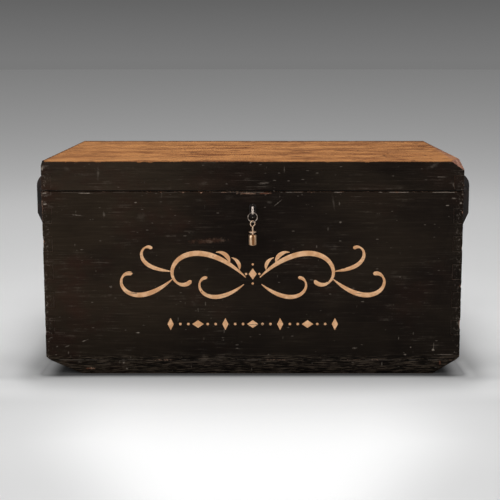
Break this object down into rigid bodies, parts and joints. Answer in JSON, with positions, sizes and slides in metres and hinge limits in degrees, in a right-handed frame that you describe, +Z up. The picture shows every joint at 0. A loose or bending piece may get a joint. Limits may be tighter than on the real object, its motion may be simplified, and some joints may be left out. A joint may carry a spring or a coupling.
{
  "type": "tool chest",
  "caption": "Dovetailed wooden chest on two skids, with hinged planked lid, end handles, front lock with key, ring and barrel fob, and a sliding till inside.",
  "frame": {"origin": "on the ground, in the middle of the footprint of the whole object, handles, hinges and hanging key ring included", "axes": "+X to the right as seen from the front, +Y from the front face to the back, +Z up"},
  "size_m": [1.036, 0.535, 0.487],
  "materials": {
    "paint": "worn black paint on pine, satin",
    "golden_pine": "bare aged pine, lightly waxed",
    "pine": "bare pine",
    "handle_wood": "dark stained hardwood, rubbed",
    "iron": "dark tarnished iron",
    "steel": "bright worn steel",
    "brass": "rubbed brass"
  },
  "bodies": {
    "chest": {"front_board": "paint", "back_board": "paint", "left_side": "paint", "right_side": "paint", "bottom_plank_1": "pine", "bottom_plank_2": "pine", "bottom_plank_3": "pine", "bottom_plank_4": "pine", "bottom_plank_5": "pine", "front_skid": "paint", "rear_skid": "paint", "left_handle_front_ear": "handle_wood", "left_handle_rear_ear": "handle_wood", "left_handle_rail": "handle_wood", "right_handle_front_ear": "handle_wood", "right_handle_rear_ear": "handle_wood", "right_handle_rail": "handle_wood", "till_runner_left": "pine", "till_runner_right": "pine", "escutcheon": "iron", "lock_case": "iron", "lock_cap": "iron", "left_hinge_lower_leaf": "iron", "right_hinge_lower_leaf": "iron", "left_hinge_pin": "iron", "right_hinge_pin": "iron"},
    "lid": {"lid_front_rail": "paint", "lid_rear_rail": "paint", "lid_left_rail": "paint", "lid_right_rail": "paint", "lid_plank_1": "golden_pine", "lid_plank_2": "golden_pine", "lid_plank_3": "golden_pine", "link_plate": "iron", "left_hinge_upper_leaf": "iron", "right_hinge_upper_leaf": "iron"},
    "bolt": {"lock_bolt": "steel"},
    "key": {"key": "steel"},
    "ring": {"key_ring": "steel"},
    "fob_swivel": {"fob_eye": "steel"},
    "fob_barrel": {"fob_barrel": "brass"},
    "till": {"till_front": "pine", "till_back": "pine", "till_left": "pine", "till_right": "pine", "till_bottom": "pine", "till_divider_1": "pine", "till_divider_2": "pine"}
  },
  "joints": [
    {"name": "lid_hinge", "type": "hinge", "parent": "chest", "child": "lid", "pos_m": [0, 0.26355, 0.4189], "axis": [-1, 0, 0], "range_deg": [0, 100]},
    {"name": "key_turn", "type": "hinge", "parent": "chest", "child": "key", "pos_m": [0, -0.25815, 0.3798], "axis": [0, 1, 0], "range_deg": [0, 360]},
    {"name": "bolt_slide", "type": "slide", "parent": "chest", "child": "bolt", "axis": [1, 0, 0], "range_m": [0, 0.008]},
    {"name": "ring_flap", "type": "hinge", "parent": "key", "child": "ring", "pos_m": [0, -0.25815, 0.3746], "axis": [-1, 0, 0], "range_deg": [-6, 85]},
    {"name": "fob_sway", "type": "hinge", "parent": "ring", "child": "fob_swivel", "pos_m": [0, -0.25815, 0.3643], "axis": [0, 1, 0], "range_deg": [-60, 60]},
    {"name": "fob_spin", "type": "hinge", "parent": "fob_swivel", "child": "fob_barrel", "pos_m": [0, -0.25815, 0.3254], "axis": [0, 0, 1], "continuous": true},
    {"name": "till_slide", "type": "slide", "parent": "chest", "child": "till", "axis": [0, -1, 0], "range_m": [0, 0.25]}
  ],
  "couplings": [
    {"joint": "bolt_slide", "follows": "key_turn", "m_per_rad": 0.001273}
  ]
}
